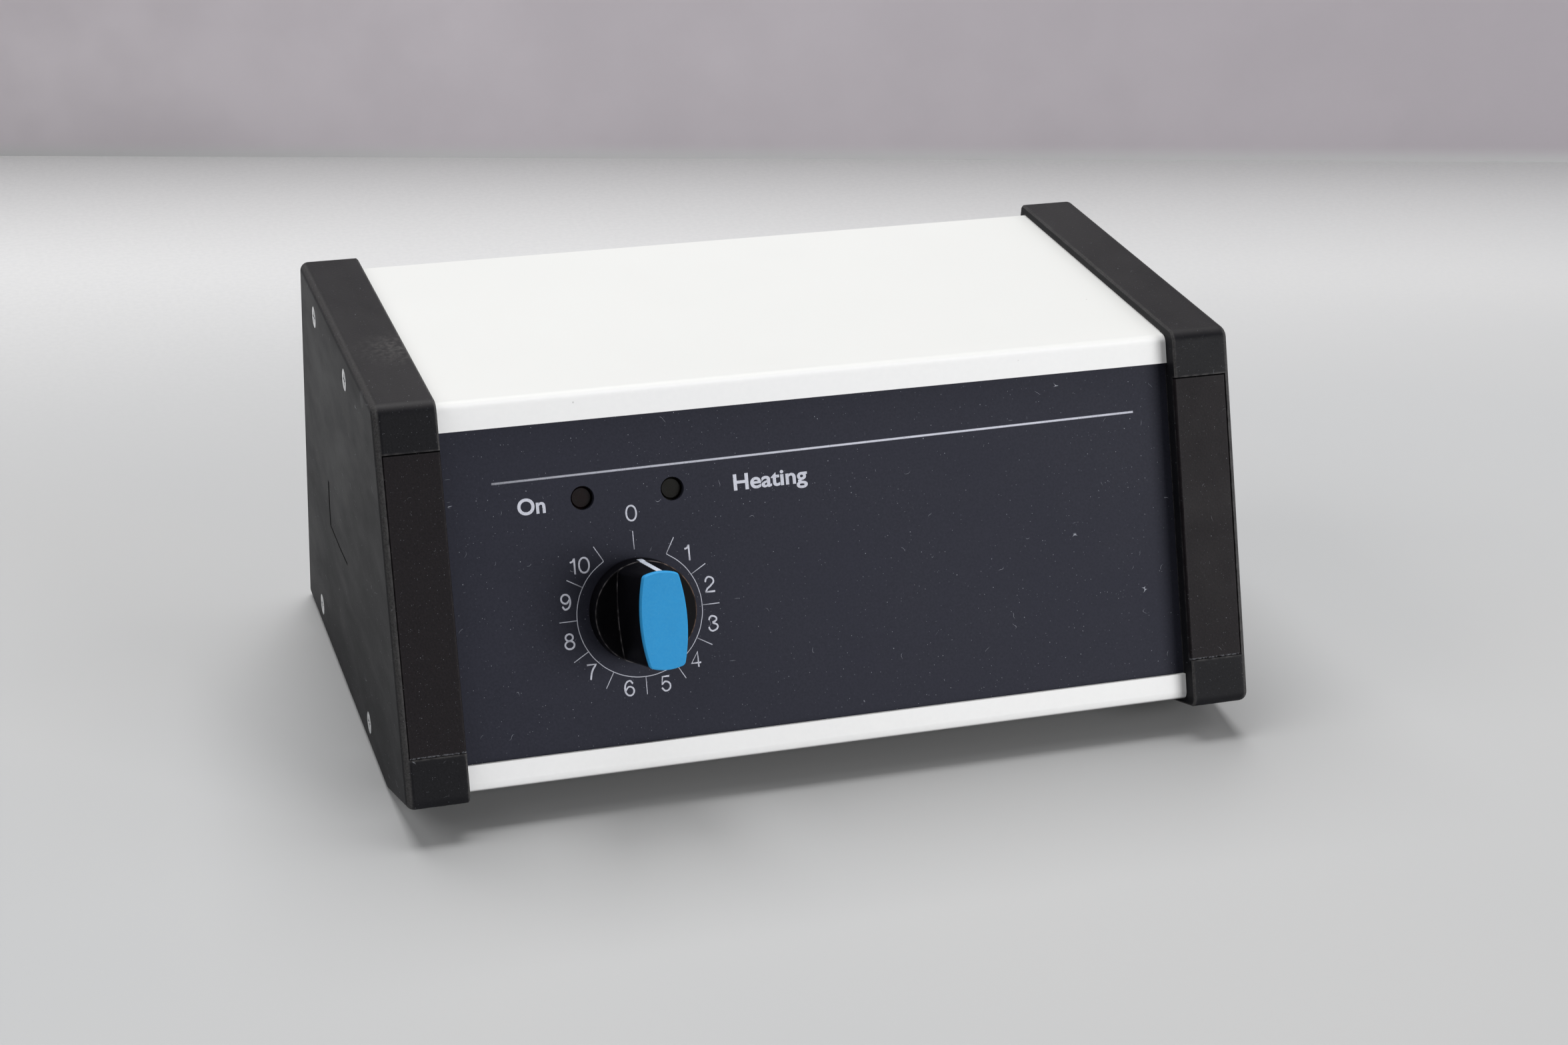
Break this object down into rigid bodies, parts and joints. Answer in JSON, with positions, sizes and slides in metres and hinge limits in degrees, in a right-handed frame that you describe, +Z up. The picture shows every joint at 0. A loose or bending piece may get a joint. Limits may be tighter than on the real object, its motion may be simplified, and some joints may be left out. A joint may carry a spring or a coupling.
{
  "type": "power controller for a heating mantle",
  "caption": "Desk case on two dark end cheeks with light covers, a sloping front panel, a pointer dial with a blue cap, pilot lamps, and an outlet, a fuse and a mains inlet at the back.",
  "frame": {"origin": "centre of the bounding box at the level of the cheeks' feet, on the table", "axes": "+X to the right along the front panel, +Y from the front to the back, +Z up"},
  "size_m": [0.2376, 0.1617, 0.1088],
  "materials": {
    "cheek": "fine grained black moulding",
    "trim": "fine grained black strip",
    "white_cover": "smooth satin white paint",
    "front_panel": "fine textured dark blue-grey paint",
    "rear_panel": "fine textured dark blue-grey paint",
    "bar": "mill finish",
    "zinc": "zinc plated",
    "knob": "satin black",
    "knob_cap": "satin sky blue",
    "pointer": "white inlay",
    "steel": "plain turned steel",
    "regulator": "dark moulded case",
    "brass": "plain brass",
    "board": "green laminate",
    "led": "tinted resin",
    "lens": "dark red lens",
    "black_insulator": "black moulded insulator",
    "pin": "nickel plated",
    "terminal": "cream moulded insulator"
  },
  "bodies": {
    "housing": {"board_screws": "steel", "board_spacers": "brass", "bush_nut": "steel", "bush_washer": "steel", "cheek_left": "cheek", "cheek_right": "cheek", "cover_top": "white_cover", "earth_nut": "brass", "earth_stud": "steel", "fuse_cap": "black_insulator", "fuse_holder": "black_insulator", "fuse_nut": "black_insulator", "inlet_body": "black_insulator", "inlet_pins": "pin", "inlet_screws": "zinc", "lamp_board": "board", "lamp_leds": "led", "lens_left": "lens", "lens_right": "lens", "panel_front": "front_panel", "panel_rear": "rear_panel", "rear_screws": "zinc", "regulator_body": "regulator", "regulator_bush": "brass", "regulator_spades": "brass", "screws_left": "zinc", "screws_right": "zinc", "shell_bottom": "white_cover", "socket_body": "black_insulator", "socket_clips": "steel", "socket_contacts": "brass", "socket_screws": "zinc", "terminal_block": "terminal", "terminal_screws": "steel", "tie_bars": "bar", "trim_left": "trim", "trim_right": "trim"},
    "dial": {"knob": "knob", "knob_cap": "knob_cap", "knob_pointer": "pointer", "dial_shaft": "steel"}
  },
  "joints": [
    {"name": "dial_turn", "type": "hinge", "parent": "housing", "child": "dial", "pos_m": [-0.0519, -0.05271, 0.05025], "axis": [0, 0.9444, -0.3289], "range_deg": [0, 330]}
  ]
}
